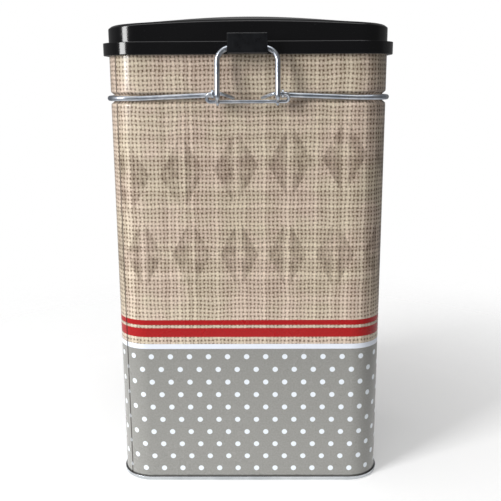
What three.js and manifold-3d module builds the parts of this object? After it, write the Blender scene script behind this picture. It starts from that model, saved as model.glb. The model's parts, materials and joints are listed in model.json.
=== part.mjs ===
// A coffee tin: a tall rounded-rectangular tinplate box with a domed plastic lid and a wire clasp.
// Millimetres, +Z up, the clasp faces -Y, and the tin stands on z = 0.
import * as THREE from 'three';
import { mergeVertices } from 'three/addons/utils/BufferGeometryUtils.js';
import Module from 'manifold-3d';

const wasm = await Module();
wasm.setup();

// ---- driving dimensions ---------------------------------------------------------------------

// tin body
const BODY_WIDTH = 108;
const BODY_DEPTH = 78;
const CORNER_RADIUS = 12.6;
const RIM_HEIGHT = 176.4; // top edge of the mouth
const TINPLATE = 0.3;
const HEM_WIDTH = 1.2; // folded edge round the mouth
const HEM_HEIGHT = 2.5;
const FOOT_FLARE = 0.2; // how far the wall turns out at its foot
const FOOT_HEIGHT = 6;
const FOOT_ROUND = 4;

// bottom panel
const PANEL_RISE = 3; // height of the panel above the rim it stands on
const BASE_LIP_HEIGHT = 1.6;
const SHEET_BEND = 0.2; // inside radius of a fold in the tinplate

// groove and neck band
const GROOVE_DROP = 17.4; // middle of the groove below the mouth
const GROOVE_DEPTH = 1.6;
const GROOVE_HALF_MOUTH = 2.3;
const GROOVE_HALF_FLOOR = 1.0;
const GROOVE_ROUND = 0.8;
const BAND_WIRE = 2.0; // diameter
const LEVER_WIRE = 1.3; // diameter
const BAIL_WIRE = 2.0; // diameter

// clasp
const LEVER_PIVOT_OUT = 5.6; // in front of the body
const LEVER_PIVOT_RISE = 1.6; // above the middle of the groove
const BAIL_PIVOT_BEHIND = 1.2; // behind the lever's pivot
const BAIL_PIVOT_BELOW = 2.9; // below the lever's pivot
const BAIL_BAR_OUT = 4.6; // in front of the body
const BAIL_HALF_SPAN = 11.2; // middle of the tin to a leg's centre line
const BAIL_CORNER = 5;
const BAIL_KNEE_DROP = 1.1; // bend in the bail's legs below the lever's pivot
const BAIL_KNEE_ROOM = 0.35; // extra room round the lever there
const BAIL_EYE_SHARE = 0.6; // part of the way from pivot to knee that is hammered flat
const EYE_THICKNESS = 1;
const EYE_RADIUS = 1.6;
const EYE_TAIL_DROP = 0.4; // band's end below the eye it carries
const BAND_SHOULDER = 4; // length of the band's end that stays out beside its eye
const BAND_SHOULDER_DROP = 0.2;
const BAND_EASE = 4; // radius where the band settles into its groove
const WIRE_BEND = 1.2; // radius of a tight bend in the thinner wires
const STUB_HALF_SPAN = 5.2;

// lid
const LID_OVERHANG = 2.2;
const LID_WALL = 1.5;
const FLANGE_DROP = 1.5; // flange's lower edge below the mouth
const FLANGE_HEIGHT = 4.7;
const STEP_INSET = 2.2; // step's wall in from the flange's face
const STEP_HEIGHT = 5.3;
const BEVEL_WIDTH = 1.3;
const BEVEL_HEIGHT = 0.8;
const DOME_HEIGHT = 5.2;
const EDGE_ARCH = 2.1; // how much of the dome's height the front and back edges rise with it
const TAB_WIDTH = 14.8;
const TAB_HEIGHT = 7.5;
const TAB_THICKNESS = 1.6;
const TAB_WEB = 0.8; // floor of the hook that the bail's bar pulls down on
const TAB_CHAMFER = 0.6;
const TAB_ROUND = 0.8; // lower outer edge
const SOFT_EDGE = 0.5; // radius of the mouldings' larger edges
const FINE_EDGE = 0.3; // radius of the smaller edges, on mouldings and the hem

// plug and seal
const LINER_SEAT = 0.3; // how far the liner reaches into the lid's step
const PLUG_INSET = 3.2; // plug's wall in from the outside of the body
const PLUG_DROP = 7.9; // plug's lower edge below the mouth
const PLUG_LIP = 1.5;
const PLUG_LIP_DROP = 4.9;
const PLUG_LIP_HEIGHT = 1.2;

// rear hinge
const HINGE_OUT = 4.9; // hinge line behind the body
const HINGE_RISE = 0; // hinge line above the mouth
const HINGE_WIRE = 2.0; // diameter
const HINGE_HALF_SPAN = 15;
const HINGE_CORNER = 2.5;
const HINGE_BEND = 2; // radius of the bends that lean the legs out
const HINGE_FOOT = 2; // leg below the band's middle
const HINGE_STRAIGHT = 4; // leg above the band's middle
const BARREL_RADIUS = 2.7;

// clearances
const REST_GAP = 0.3; // between pieces that rest on or grip each other
const PIVOT_GAP = 0.15; // round a wire in an eye
const SLIP_GAP = 0.5; // between pieces that pass each other
const SKIRT_GAP = 0.7; // between the lid's flange and the body
const HOOK_GAP = 0.3; // between the bail's bar and the lid's hook

// smoothness
const CORNER_STEPS = 6;
const ARC_STEPS = 2;
const WIRE_SIDES = 10;
const ROUND_SIDES = 20;
const DOME_RINGS = 4;

// ---- places worked out from them ------------------------------------------------------------

const front = -BODY_DEPTH / 2;
const back = BODY_DEPTH / 2;
const grooveZ = RIM_HEIGHT - GROOVE_DROP;
const flangeZ = RIM_HEIGHT - FLANGE_DROP;
const shelfZ = flangeZ + FLANGE_HEIGHT;
const stepZ = shelfZ + STEP_HEIGHT;
const domeZ = stepZ + BEVEL_HEIGHT;
const leverPivot = { y: front - LEVER_PIVOT_OUT, z: grooveZ + LEVER_PIVOT_RISE };
const bailPivot = { y: leverPivot.y + BAIL_PIVOT_BEHIND, z: leverPivot.z - BAIL_PIVOT_BELOW };
const eyeHalfSpan = BAIL_HALF_SPAN + BAIL_WIRE / 2 + REST_GAP + EYE_THICKNESS / 2;
const hingeLine = { y: back + HINGE_OUT, z: RIM_HEIGHT + HINGE_RISE };
const barrelLength = 2 * (HINGE_HALF_SPAN - HINGE_CORNER - SLIP_GAP);
const stepOut = LID_OVERHANG - STEP_INSET;
const webTop = flangeZ + TAB_WEB;
const bendInHook = Math.max(0, TAB_WIDTH / 2 - BAIL_HALF_SPAN + BAIL_CORNER);
const bendInside = BAIL_CORNER - BAIL_WIRE / 2;
const bendDip = bendInside - Math.sqrt(bendInside ** 2 - bendInHook ** 2);
const bailBar = {
  y: front - BAIL_BAR_OUT,
  z: webTop + HOOK_GAP + bendDip + BAIL_WIRE / 2,
};
const linerBottom = RIM_HEIGHT + SLIP_GAP;
const linerTop = Math.max(linerBottom + LID_WALL, shelfZ - LID_WALL + LINER_SEAT);

// ---- geometry helpers -----------------------------------------------------------------------

// Replaces each corner [x, y, z, radius] that has a radius by an arc.
function roundCorners(corners, steps = ARC_STEPS) {
  const points = [];
  corners.forEach(([x, y, z, radius = 0], index) => {
    const here = new THREE.Vector3(x, y, z);
    if (radius === 0) {
      points.push(here);
      return;
    }
    const before = new THREE.Vector3(...corners.at(index - 1).slice(0, 3));
    const after = new THREE.Vector3(...corners[(index + 1) % corners.length].slice(0, 3));
    const toBefore = before.sub(here).normalize();
    const toAfter = after.sub(here).normalize();
    const half = toBefore.angleTo(toAfter) / 2;
    const reach = radius / Math.tan(half);
    const inward = toBefore.clone().add(toAfter).normalize();
    const centre = here.clone().addScaledVector(inward, radius / Math.sin(half));
    const start = here.clone().addScaledVector(toBefore, reach).sub(centre);
    const end = here.clone().addScaledVector(toAfter, reach).sub(centre);
    const axis = start.clone().cross(end).normalize();
    for (let i = 0; i <= steps; i += 1) {
      const turn = (Math.PI - 2 * half) * (i / steps);
      points.push(start.clone().applyAxisAngle(axis, turn).add(centre));
    }
  });
  return points;
}

// The tin's outline, moved out by offset, at height z.
function outline(offset, z, scale = 1) {
  const cx = BODY_WIDTH / 2 - CORNER_RADIUS;
  const cy = BODY_DEPTH / 2 - CORNER_RADIUS;
  const radius = CORNER_RADIUS + offset;
  const centres = [[cx, cy], [-cx, cy], [-cx, -cy], [cx, -cy]];
  return centres.flatMap(([x, y], corner) =>
    Array.from({ length: CORNER_STEPS + 1 }, (_, i) => {
      const angle = (corner + i / CORNER_STEPS) * (Math.PI / 2);
      const px = x + radius * Math.cos(angle);
      const py = y + radius * Math.sin(angle);
      return new THREE.Vector3(px * scale, py * scale, z);
    }));
}

// Skins a list of equal rings. Without end points the last ring joins the first.
function loft(rings, ends = []) {
  const count = rings[0].length;
  const points = rings.flat();
  const faces = [];
  const spans = ends.length ? rings.length - 1 : rings.length;
  for (let r = 0; r < spans; r += 1) {
    const low = r * count;
    const high = ((r + 1) % rings.length) * count;
    for (let i = 0; i < count; i += 1) {
      const next = (i + 1) % count;
      faces.push(low + i, low + next, high + next, low + i, high + next, high + i);
    }
  }
  if (ends.length) {
    const last = (rings.length - 1) * count;
    points.push(new THREE.Vector3(0, 0, ends[0]), new THREE.Vector3(0, 0, ends[1]));
    for (let i = 0; i < count; i += 1) {
      const next = (i + 1) % count;
      faces.push(points.length - 2, next, i, points.length - 1, last + i, last + next);
    }
  }
  const geometry = new THREE.BufferGeometry().setFromPoints(points);
  geometry.setIndex(faces);
  return geometry;
}

// Sweeps a closed profile of [offset, z, radius] round the tin.
function ringOf(profile) {
  const corners = profile.map(([offset, z, radius = 0]) => [offset, 0, z, radius]);
  return loft(roundCorners(corners).map((point) => outline(point.x, point.z)));
}

// Sweeps an open profile round the tin and closes it at the middle, at the two end heights.
function panelOf(profile, startZ, endZ) {
  const corners = profile.map(([offset, z, radius = 0]) => [offset, 0, z, radius]);
  const rings = roundCorners(corners).map((point) => outline(point.x, point.z));
  return loft(rings, [startZ, endZ]);
}

// A path through given points, so that the wire's sections sit on those points.
class WirePath extends THREE.Curve {
  constructor(points) {
    super();
    this.points = points;
  }

  getPoint(t, target = new THREE.Vector3()) {
    return target.copy(this.points[Math.round(t * (this.points.length - 1))]);
  }

  getPointAt(u, target) {
    return this.getPoint(u, target);
  }

  getTangentAt(u, target = new THREE.Vector3()) {
    const last = this.points.length - 1;
    const index = Math.round(u * last);
    const ahead = this.points[Math.min(index + 1, last)];
    const behind = this.points[Math.max(index - 1, 0)];
    return target.subVectors(ahead, behind).normalize();
  }
}

function wire(points, diameter) {
  const section = new THREE.Shape().absarc(0, 0, diameter / 2, 0, 2 * Math.PI);
  return new THREE.ExtrudeGeometry(section, {
    steps: points.length - 1,
    curveSegments: WIRE_SIDES / 2,
    extrudePath: new WirePath(points),
  });
}

function toSolid(geometry) {
  const bare = geometry.clone();
  bare.deleteAttribute('normal');
  bare.deleteAttribute('uv');
  const merged = mergeVertices(bare, 1e-4);
  return new wasm.Manifold(new wasm.Mesh({
    numProp: 3,
    vertProperties: merged.attributes.position.array,
    triVerts: new Uint32Array(merged.index.array),
  }));
}

function toGeometry(solid) {
  const mesh = solid.getMesh();
  const geometry = new THREE.BufferGeometry();
  geometry.setAttribute('position', new THREE.BufferAttribute(mesh.vertProperties, 3));
  geometry.setIndex(new THREE.BufferAttribute(mesh.triVerts, 1));
  return geometry;
}

// A cylinder that lies along X.
function rod(radius, length, x, y, z) {
  const geometry = new THREE.CylinderGeometry(radius, radius, length, ROUND_SIDES);
  return geometry.rotateZ(Math.PI / 2).translate(x, y, z);
}

// Extrudes an outline given in the Y-Z plane along X.
function plateAlongX(corners, xLow, xHigh) {
  const points = roundCorners(corners.map(([y, z, radius = 0]) => [y, z, 0, radius]));
  const shape = new THREE.Shape(points.map((point) => new THREE.Vector2(point.x, point.y)));
  const geometry = new THREE.ExtrudeGeometry(shape, { depth: xHigh - xLow, bevelEnabled: false });
  const turn = new THREE.Matrix4().makeBasis(
    new THREE.Vector3(0, 1, 0),
    new THREE.Vector3(0, 0, 1),
    new THREE.Vector3(1, 0, 0),
  );
  return geometry.applyMatrix4(turn).translate(xLow, 0, 0);
}

// A wire end hammered flat and pierced: a disc round the pivot with a tail to the wire.
function flatEye(x, pivot, tail, pinDiameter) {
  const length = Math.hypot(tail.y - pivot.y, tail.z - pivot.z);
  const shank = new THREE.BoxGeometry(EYE_THICKNESS, length, EYE_RADIUS);
  shank.rotateX(Math.atan2(tail.z - pivot.z, tail.y - pivot.y));
  shank.translate(x, (pivot.y + tail.y) / 2, (pivot.z + tail.z) / 2);
  const disc = rod(EYE_RADIUS, EYE_THICKNESS, x, pivot.y, pivot.z);
  const hole = rod(pinDiameter / 2 + PIVOT_GAP, 2 * EYE_THICKNESS, x, pivot.y, pivot.z);
  return { body: toSolid(disc).add(toSolid(shank)), hole: toSolid(hole) };
}

// A wire with a flat eye at each end.
function wireWithEyes(points, diameter, x, pivot, tail, pinDiameter) {
  const eyes = [-x, x].map((place) => flatEye(place, pivot, tail, pinDiameter));
  let solid = toSolid(wire(points, diameter));
  for (const eye of eyes) {
    solid = solid.add(eye.body);
  }
  for (const eye of eyes) {
    solid = solid.subtract(eye.hole);
  }
  return toGeometry(solid);
}

// Mirrors a half path that starts on the left and ends before the middle plane.
function mirrored(half) {
  const right = half.map(([x, ...rest]) => [-x, ...rest]).reverse();
  return [...half, ...right];
}

// ---- the tin --------------------------------------------------------------------------------

function grooveProfile(offset) {
  return [
    [offset, grooveZ - GROOVE_HALF_MOUTH, GROOVE_ROUND],
    [offset - GROOVE_DEPTH, grooveZ - GROOVE_HALF_FLOOR, GROOVE_ROUND],
    [offset - GROOVE_DEPTH, grooveZ + GROOVE_HALF_FLOOR, GROOVE_ROUND],
    [offset, grooveZ + GROOVE_HALF_MOUTH, GROOVE_ROUND],
  ];
}

function bodyShell() {
  const footZ = TINPLATE + REST_GAP;
  const outside = [
    [FOOT_FLARE, footZ],
    [FOOT_FLARE, BASE_LIP_HEIGHT + REST_GAP, FOOT_ROUND / 4],
    [0, FOOT_HEIGHT, FOOT_ROUND],
    ...grooveProfile(0),
    [0, RIM_HEIGHT, FINE_EDGE],
    [-HEM_WIDTH, RIM_HEIGHT, FINE_EDGE],
  ];
  const inside = [
    [FOOT_FLARE - TINPLATE, footZ],
    [FOOT_FLARE - TINPLATE, BASE_LIP_HEIGHT + REST_GAP, FOOT_ROUND / 4],
    [-TINPLATE, FOOT_HEIGHT, FOOT_ROUND],
    ...grooveProfile(-TINPLATE),
    [-TINPLATE, RIM_HEIGHT - HEM_HEIGHT],
    [-HEM_WIDTH, RIM_HEIGHT - HEM_HEIGHT, FINE_EDGE],
  ];
  return ringOf([...outside, ...inside.reverse()]);
}

function bottomPanel() {
  const wallOut = -TINPLATE - REST_GAP;
  const wallIn = wallOut - TINPLATE;
  const lipIn = FOOT_FLARE + REST_GAP;
  const lipOut = lipIn + TINPLATE;
  const profile = [
    [-PLUG_INSET, PANEL_RISE],
    [wallIn, PANEL_RISE, SHEET_BEND],
    [wallIn, 0, SHEET_BEND],
    [lipOut, 0, SHEET_BEND + TINPLATE],
    [lipOut, BASE_LIP_HEIGHT],
    [lipIn, BASE_LIP_HEIGHT],
    [lipIn, TINPLATE],
    [wallOut, TINPLATE],
    [wallOut, PANEL_RISE + TINPLATE, SHEET_BEND + TINPLATE],
    [-PLUG_INSET, PANEL_RISE + TINPLATE],
  ];
  return panelOf(profile, PANEL_RISE, PANEL_RISE + TINPLATE);
}

// ---- wires ----------------------------------------------------------------------------------

function neckWire() {
  const offset = REST_GAP + BAND_WIRE / 2 - GROOVE_DEPTH;
  const halfWidth = BODY_WIDTH / 2 + offset;
  const halfDepth = BODY_DEPTH / 2 + offset;
  const radius = CORNER_RADIUS + offset;
  const tail = { y: leverPivot.y + 2 * EYE_RADIUS, z: leverPivot.z - EYE_TAIL_DROP };
  const shoulderZ = tail.z - BAND_SHOULDER_DROP;
  const half = [
    [-eyeHalfSpan, tail.y - EYE_RADIUS / 2, tail.z],
    [-eyeHalfSpan, tail.y + EYE_THICKNESS / 2, tail.z, WIRE_BEND],
    [-eyeHalfSpan - BAND_SHOULDER, tail.y + EYE_THICKNESS, shoulderZ, BAND_WIRE],
    [-halfWidth + radius, -halfDepth, grooveZ, BAND_EASE],
    [-halfWidth, -halfDepth, grooveZ, radius - BAND_EASE],
    [-halfWidth, halfDepth, grooveZ, radius],
  ];
  const points = roundCorners(mirrored(half), 2 * ARC_STEPS);
  return wireWithEyes(points, BAND_WIRE, eyeHalfSpan, leverPivot, tail, LEVER_WIRE);
}

function leverWire() {
  const turnX = eyeHalfSpan + EYE_THICKNESS / 2 + REST_GAP;
  const outX = turnX + (leverPivot.z - bailPivot.z) / 2;
  const stubX = BAIL_HALF_SPAN - BAIL_WIRE / 2 - LEVER_WIRE / 2;
  const stubY = front - REST_GAP - LEVER_WIRE / 2;
  const half = [
    [-STUB_HALF_SPAN, stubY, bailPivot.z + WIRE_BEND],
    [-stubX, leverPivot.y, leverPivot.z, WIRE_BEND],
    [-outX, leverPivot.y, leverPivot.z, WIRE_BEND],
    [-outX, bailPivot.y, bailPivot.z, WIRE_BEND],
  ];
  return wire(roundCorners(mirrored(half), 2 * ARC_STEPS), LEVER_WIRE);
}

function bailWire() {
  const clear = BAIL_WIRE / 2 + LEVER_WIRE / 2 + REST_GAP;
  const knee = {
    y: leverPivot.y - clear - BAIL_KNEE_ROOM,
    z: leverPivot.z - BAIL_KNEE_DROP,
  };
  const toKnee = (share) => ({
    y: bailPivot.y + (knee.y - bailPivot.y) * share,
    z: bailPivot.z + (knee.z - bailPivot.z) * share,
  });
  const start = toKnee(BAIL_EYE_SHARE);
  const tail = toKnee((1 + BAIL_EYE_SHARE) / 2);
  const half = [
    [-BAIL_HALF_SPAN, start.y, start.z],
    [-BAIL_HALF_SPAN, knee.y, knee.z, BAIL_WIRE / 2],
    [-BAIL_HALF_SPAN, bailBar.y, bailBar.z, BAIL_CORNER],
  ];
  const points = roundCorners(mirrored(half), 2 * ARC_STEPS);
  return wireWithEyes(points, BAIL_WIRE, BAIL_HALF_SPAN, bailPivot, tail, LEVER_WIRE);
}

function hingeWire() {
  const bandOut = back + REST_GAP + BAND_WIRE - GROOVE_DEPTH;
  const footY = bandOut + REST_GAP + HINGE_WIRE / 2;
  const half = [
    [-HINGE_HALF_SPAN, footY, grooveZ - HINGE_FOOT],
    [-HINGE_HALF_SPAN, footY, grooveZ + HINGE_STRAIGHT, HINGE_BEND],
    [-HINGE_HALF_SPAN, hingeLine.y, hingeLine.z - 2 * HINGE_CORNER, HINGE_BEND],
    [-HINGE_HALF_SPAN, hingeLine.y, hingeLine.z, HINGE_CORNER],
  ];
  return wire(roundCorners(mirrored(half), 2 * ARC_STEPS), HINGE_WIRE);
}

// ---- lid ------------------------------------------------------------------------------------

// Height that the lid's arch adds to its upper edge at x.
function archAt(x) {
  return EDGE_ARCH * (1 - (x / (BODY_WIDTH / 2)) ** 2);
}

// Rings of a pillow-shaped top, from its arched edge towards the middle.
function domeRings(offset, edgeZ) {
  const b = BODY_DEPTH / 2 + offset;
  return Array.from({ length: DOME_RINGS }, (_, i) => {
    const ring = outline(offset, edgeZ, 1 - i / DOME_RINGS);
    for (const point of ring) {
      const arch = archAt(point.x);
      point.z += arch * (1 + (DOME_HEIGHT / EDGE_ARCH - 1) * (1 - (point.y / b) ** 2));
    }
    return ring;
  });
}

function lidMoulding() {
  const domeOut = stepOut - BEVEL_WIDTH;
  const profile = [
    [stepOut - LID_WALL, stepZ - LID_WALL / 2],
    [stepOut - LID_WALL, shelfZ - LID_WALL],
    [SKIRT_GAP, shelfZ - LID_WALL, FINE_EDGE],
    [SKIRT_GAP, flangeZ],
    [LID_OVERHANG, flangeZ, FINE_EDGE],
    [LID_OVERHANG, shelfZ, SOFT_EDGE],
    [stepOut, shelfZ, FINE_EDGE],
    [stepOut, stepZ, SOFT_EDGE],
    [domeOut, domeZ],
  ];
  const corners = profile.map(([offset, z, radius = 0]) => [offset, 0, z, radius]);
  const walls = roundCorners(corners).slice(0, -1).map((point) => outline(point.x, point.z));
  for (const point of walls.flat()) {
    if (point.z > (shelfZ + stepZ) / 2) {
      point.z += archAt(point.x);
    }
  }
  const inner = domeRings(domeOut - LID_WALL / 2, domeZ - LID_WALL).reverse();
  const outer = domeRings(domeOut, domeZ);
  const rings = [...inner, ...walls, ...outer];
  return loft(rings, [domeZ + DOME_HEIGHT - LID_WALL, domeZ + DOME_HEIGHT]);
}

// The hook that the bail's bar drops into, seen from the side as a J.
function frontTab() {
  const root = front - SKIRT_GAP - LID_WALL / 2;
  const plateIn = bailBar.y - BAIL_WIRE / 2 - HOOK_GAP;
  const plateOut = plateIn - TAB_THICKNESS;
  const top = flangeZ + TAB_HEIGHT;
  const corners = [
    [root, flangeZ],
    [root, webTop],
    [plateIn, webTop, SOFT_EDGE],
    [plateIn, top - 2 * TAB_CHAMFER],
    [plateIn - TAB_CHAMFER, top],
    [plateOut, top, FINE_EDGE],
    [plateOut, flangeZ, TAB_ROUND],
  ];
  return plateAlongX(corners.reverse(), -TAB_WIDTH / 2, TAB_WIDTH / 2);
}

function hingeBarrel() {
  const half = barrelLength / 2;
  const barrel = rod(BARREL_RADIUS, barrelLength, 0, hingeLine.y, hingeLine.z);
  const root = back + SKIRT_GAP + LID_WALL / 2;
  const corners = [
    [root, flangeZ],
    [hingeLine.y, flangeZ],
    [hingeLine.y, shelfZ - FINE_EDGE],
    [root, shelfZ - FINE_EDGE],
  ];
  return toSolid(barrel).add(toSolid(plateAlongX(corners, -half, half)));
}

function lidShell() {
  const hole = rod(HINGE_WIRE / 2 + REST_GAP, 2 * barrelLength, 0, hingeLine.y, hingeLine.z);
  const solid = toSolid(lidMoulding())
    .add(toSolid(frontTab()))
    .add(hingeBarrel())
    .subtract(toSolid(hole));
  return toGeometry(solid);
}

function lidLiner() {
  const edge = stepOut - LID_WALL - REST_GAP;
  const lipTop = RIM_HEIGHT - PLUG_LIP_DROP + PLUG_LIP_HEIGHT;
  const inside = -PLUG_INSET - LID_WALL;
  const middle = 2 * inside;
  const profile = [
    [middle, linerTop - LID_WALL],
    [inside, linerTop - LID_WALL, SOFT_EDGE],
    [inside, RIM_HEIGHT - PLUG_DROP, SOFT_EDGE],
    [-PLUG_INSET, RIM_HEIGHT - PLUG_DROP, SOFT_EDGE],
    [-PLUG_INSET, lipTop - PLUG_LIP_HEIGHT],
    [-PLUG_INSET + PLUG_LIP, lipTop - PLUG_LIP_HEIGHT, SOFT_EDGE],
    [-PLUG_INSET + PLUG_LIP, lipTop],
    [-PLUG_INSET, lipTop],
    [-PLUG_INSET, linerBottom],
    [edge, linerBottom, FINE_EDGE],
    [edge, linerTop, FINE_EDGE],
    [middle, linerTop],
  ];
  return panelOf(profile, linerTop - LID_WALL, linerTop);
}

function sealingRing() {
  const inner = -PLUG_INSET + REST_GAP;
  const outer = -HEM_WIDTH - REST_GAP;
  const low = RIM_HEIGHT - PLUG_LIP_DROP + PLUG_LIP_HEIGHT + REST_GAP;
  const high = linerBottom - REST_GAP;
  return ringOf([
    [inner, high, FINE_EDGE],
    [inner, low, FINE_EDGE],
    [outer, low, SOFT_EDGE],
    [outer, high, SOFT_EDGE],
  ]);
}

// ---- assembly -------------------------------------------------------------------------------

const tinplate = { color: 0xb9a284, roughness: 0.3, metalness: 0.2 };
const steel = { color: 0xc3c7ca, roughness: 0.25, metalness: 1 };
const zincWire = { color: 0xb4babf, roughness: 0.3, metalness: 1 };
const blackPlastic = { color: 0x0c0d0f, roughness: 0.2, metalness: 0 };
const linerPlastic = { color: 0x16181a, roughness: 0.5, metalness: 0 };
const silicone = { color: 0xd9d9d2, roughness: 0.6, metalness: 0 };

const tin = new THREE.Group();
const pieces = [
  ['body_shell', bodyShell(), tinplate],
  ['bottom_panel', bottomPanel(), steel],
  ['neck_wire', neckWire(), zincWire],
  ['hinge_wire', hingeWire(), zincWire],
  ['lever_wire', leverWire(), zincWire],
  ['bail_wire', bailWire(), zincWire],
  ['lid_shell', lidShell(), blackPlastic],
  ['lid_liner', lidLiner(), linerPlastic],
  ['sealing_ring', sealingRing(), silicone],
];
for (const [name, geometry, finish] of pieces) {
  const mesh = new THREE.Mesh(geometry, new THREE.MeshStandardMaterial(finish));
  mesh.name = name;
  tin.add(mesh);
}

// The origin lies under the middle of the whole tin, its clasp and hinge included.
const bounds = new THREE.Box3().setFromObject(tin);
tin.position.y = -(bounds.min.y + bounds.max.y) / 2;

export default tin;
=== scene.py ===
"""Looks of the coffee tin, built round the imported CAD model. Metres, +Z up, the clasp faces -Y."""

import json
import math

import bmesh
import bpy
from mathutils import Matrix, Vector


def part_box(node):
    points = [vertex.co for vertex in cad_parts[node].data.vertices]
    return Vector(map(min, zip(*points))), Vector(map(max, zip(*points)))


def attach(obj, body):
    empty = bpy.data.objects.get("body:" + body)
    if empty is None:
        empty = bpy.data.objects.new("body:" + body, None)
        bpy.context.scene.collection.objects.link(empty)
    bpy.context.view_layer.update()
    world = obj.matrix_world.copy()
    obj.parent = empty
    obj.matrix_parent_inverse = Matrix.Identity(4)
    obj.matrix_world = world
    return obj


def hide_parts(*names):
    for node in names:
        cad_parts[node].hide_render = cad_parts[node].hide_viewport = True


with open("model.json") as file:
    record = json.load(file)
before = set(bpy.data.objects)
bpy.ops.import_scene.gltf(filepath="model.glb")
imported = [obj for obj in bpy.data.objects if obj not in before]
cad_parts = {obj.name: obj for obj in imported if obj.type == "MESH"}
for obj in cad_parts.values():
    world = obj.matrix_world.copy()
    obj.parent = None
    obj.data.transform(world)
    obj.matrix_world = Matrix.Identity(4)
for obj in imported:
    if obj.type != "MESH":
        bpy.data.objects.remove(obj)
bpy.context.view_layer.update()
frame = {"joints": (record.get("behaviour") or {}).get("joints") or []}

MM = 0.001

# ---- sizes: the frame gives the places, the rest are the pieces' own sizes in metres ----------

FOOT_FLARE = 0.2 * MM
CORNER_RADIUS = 12.6 * MM
TINPLATE = 0.3 * MM
HEM_WIDTH = 1.2 * MM
HEM_HEIGHT = 2.5 * MM
FOOT_HEIGHT = 6 * MM
FOOT_START = 0.6 * MM
GROOVE_DEPTH = 1.6 * MM
GROOVE_HALF_MOUTH = 2.3 * MM
GROOVE_HALF_FLOOR = 1.0 * MM
GROOVE_DROP = 17.4 * MM
BASE_LIP = 1.9 * MM
PANEL_RISE = 3 * MM
LID_OVERHANG = 2.2 * MM
LID_WALL = 1.5 * MM
SKIRT_GAP = 0.7 * MM
STEP_INSET = 2.2 * MM
BEVEL_WIDTH = 1.3 * MM
DOME_HEIGHT = 5.2 * MM
EDGE_ARCH = 2.1 * MM
FLANGE_DROP = 1.5 * MM
FLANGE_HEIGHT = 4.7 * MM
STEP_HEIGHT = 5.3 * MM
BEVEL_HEIGHT = 0.8 * MM
TAB_HALF_WIDTH = 7.4 * MM
TAB_HEIGHT = 7.5 * MM
TAB_THICKNESS = 1.6 * MM
TAB_WEB = 0.8 * MM
PLUG_INSET = 3.2 * MM
WIRE = 1.0 * MM  # radius of the band, the bail and the hinge wire
THIN_WIRE = 0.65 * MM  # radius of the lever
EYE_OUTER = 1.6 * MM
EYE_INNER = 0.8 * MM
EYE_HALF = 0.5 * MM  # half the thickness of a hammered eye
BAIL_SPAN = 11.2 * MM
EYE_SPAN = 13.0 * MM
HINGE_SPAN = 15 * MM
HINGE_CORNER = 2.5 * MM
HINGE_FOOT = 2 * MM
HINGE_STRAIGHT = 4 * MM
HINGE_BEND = 4 * MM
BARREL_RADIUS = 2.7 * MM
BARREL_INSET = 3 * MM  # from the hinge wire's leg to the barrel's end
BAIL_BAR_OUT = 4.6 * MM  # in front of the body
BAIL_CORNER = 5 * MM
KNEE_ROOM = 0.35 * MM
KNEE_DROP = 1.1 * MM
LEVER_BEND = 1.2 * MM
STUB_SPAN = 5.2 * MM
BAND_EASE = 4 * MM  # over which the band comes forward from its groove
BAND_TAIL_DROP = 0.4 * MM
BAND_SHOULDER_DROP = 0.2 * MM
PLUG_DEPTH = 7.9 * MM
PLUG_LIP = 1.5 * MM
PLUG_LIP_DEPTH = 4.9 * MM
PLUG_LIP_HEIGHT = 1.2 * MM
PANEL_BEAD = 0.7 * MM  # height of the bead pressed into the bottom
SOFT_EDGE = 0.6 * MM
FINE_EDGE = 0.35 * MM
REST_GAP = 0.3 * MM

body_low, body_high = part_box("body_shell")
HALF_WIDTH = body_high.x - FOOT_FLARE
HALF_DEPTH = (body_high.y - body_low.y) / 2 - FOOT_FLARE
MIDDLE_Y = (body_high.y + body_low.y) / 2
RIM_Z = body_high.z
GROOVE_Z = RIM_Z - GROOVE_DROP
FRONT_Y = MIDDLE_Y - HALF_DEPTH
BACK_Y = MIDDLE_Y + HALF_DEPTH
pivots = {joint["name"]: Vector(joint["pos_m"]) for joint in frame["joints"]}
LEVER_PIVOT = pivots["lever_swing"]
BAIL_PIVOT = pivots["bail_swing"]
HINGE_LINE = pivots["lid_hinge"]
BAIL_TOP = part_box("bail_wire")[1].z - WIRE
BAIL_BAR_Y = FRONT_Y - BAIL_BAR_OUT


# A wire's end is hammered flat towards its eye, or cut off with a worn edge.
TAPER_START = 0.6 * MM
TAPER_LENGTH = 2.2 * MM
TAPER_WIDE = 0.8
TAPER_THIN = 0.96
CUT_END = 0.8


# ---- mesh helpers -----------------------------------------------------------------------------


def rounded(corners, steps=6, closed=True):
    """Replaces each corner (x, y, z, radius) that has a radius by an arc."""
    points = []
    places = [Vector(corner[:3]) for corner in corners]
    for index, corner in enumerate(corners):
        here = places[index]
        radius = corner[3] if len(corner) > 3 else 0
        inner = 0 < index < len(corners) - 1
        if radius == 0 or not (closed or inner):
            points.append(here)
            continue
        to_before = (places[index - 1] - here).normalized()
        to_after = (places[(index + 1) % len(places)] - here).normalized()
        half = to_before.angle(to_after) / 2
        centre = here + (to_before + to_after).normalized() * radius / math.sin(half)
        start = here + to_before * radius / math.tan(half) - centre
        end = here + to_after * radius / math.tan(half) - centre
        axis = start.cross(end).normalized()
        for step in range(steps + 1):
            turn = Matrix.Rotation((math.pi - 2 * half) * step / steps, 3, axis)
            points.append(centre + turn @ start)
    return points


def profile(*corners, steps=6, closed=True):
    """A rounded profile of (offset, z) from corners (offset, z, radius)."""
    flat = [(corner[0], corner[1], 0, corner[2] if len(corner) > 2 else 0) for corner in corners]
    return [(point.x, point.y) for point in rounded(flat, steps, closed)]


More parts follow.
